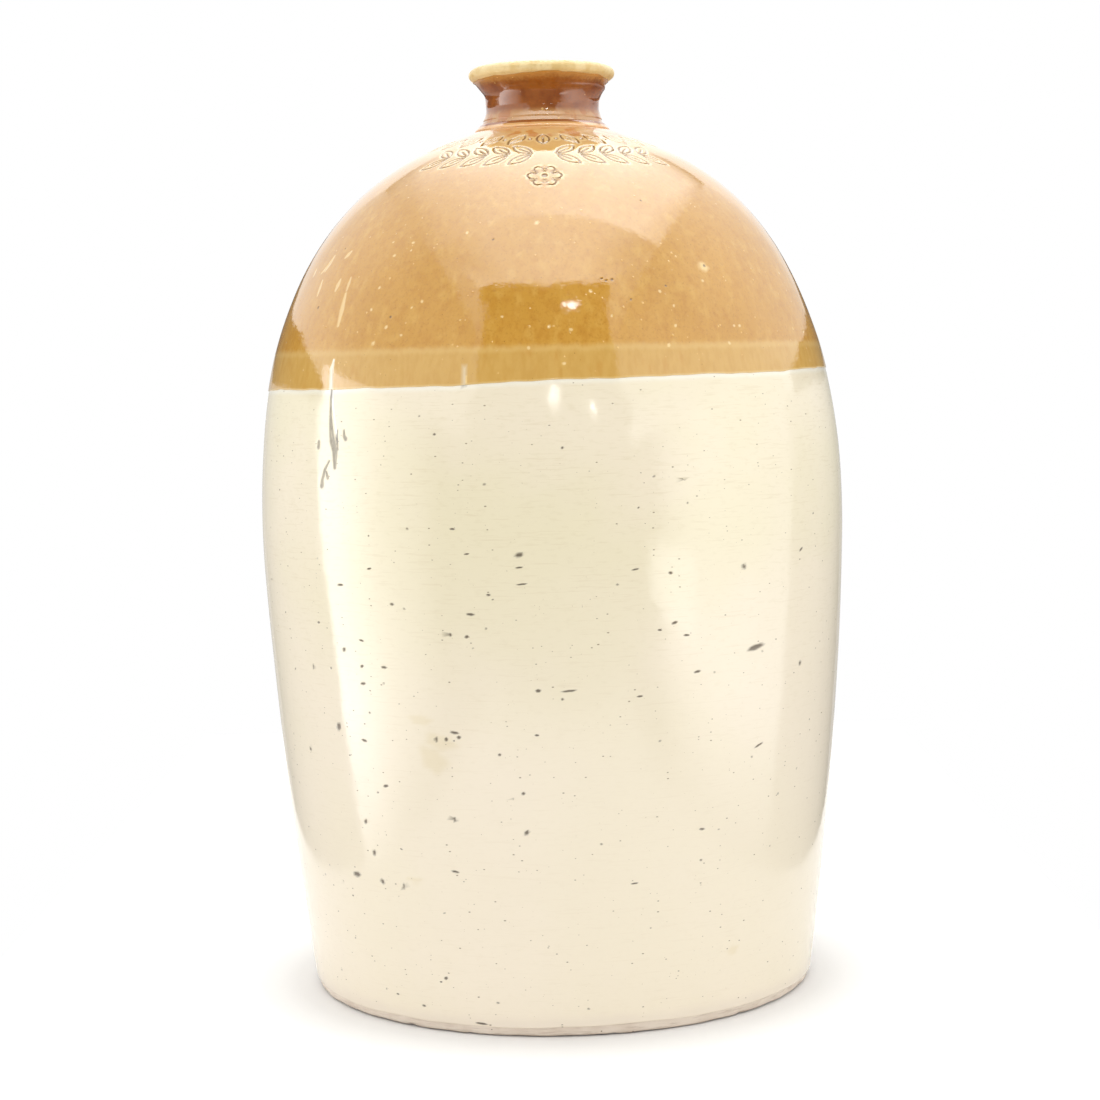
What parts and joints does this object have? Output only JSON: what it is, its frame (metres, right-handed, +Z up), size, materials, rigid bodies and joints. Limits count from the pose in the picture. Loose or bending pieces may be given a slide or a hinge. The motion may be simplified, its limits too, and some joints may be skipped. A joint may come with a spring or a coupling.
{
  "type": "stoneware flagon",
  "caption": "Tall stoneware flagon with a domed two-tone glazed shoulder, a short flared neck and a lift-out cork bung.",
  "frame": {"origin": "centre of the foot, on the surface that the flagon stands on", "axes": "+Z up through the mouth; -Y is the front, where the ornament is; +X to the right seen from the front"},
  "size_m": [0.2928, 0.2926, 0.46],
  "materials": {
    "stoneware": "rough unglazed fired clay",
    "bare_lip": "thinly ashed buff clay",
    "cream_glaze": "glossy, pitted",
    "ochre_glaze": "glossy, mottled",
    "lining_glaze": "glossy brown",
    "cork": "dry cork with dark pores"
  },
  "bodies": {
    "flagon": {"lower_body": "stoneware", "shoulder_dome": "stoneware", "neck_ring": "bare_lip", "cream_glaze": "cream_glaze", "ochre_glaze": "ochre_glaze", "lining_glaze": "lining_glaze"},
    "bung": {"cork_bung": "cork"}
  },
  "joints": [
    {"name": "bung_lift", "type": "slide", "parent": "flagon", "child": "bung", "axis": [0, 0, 1], "range_m": [0, 0.08]}
  ]
}
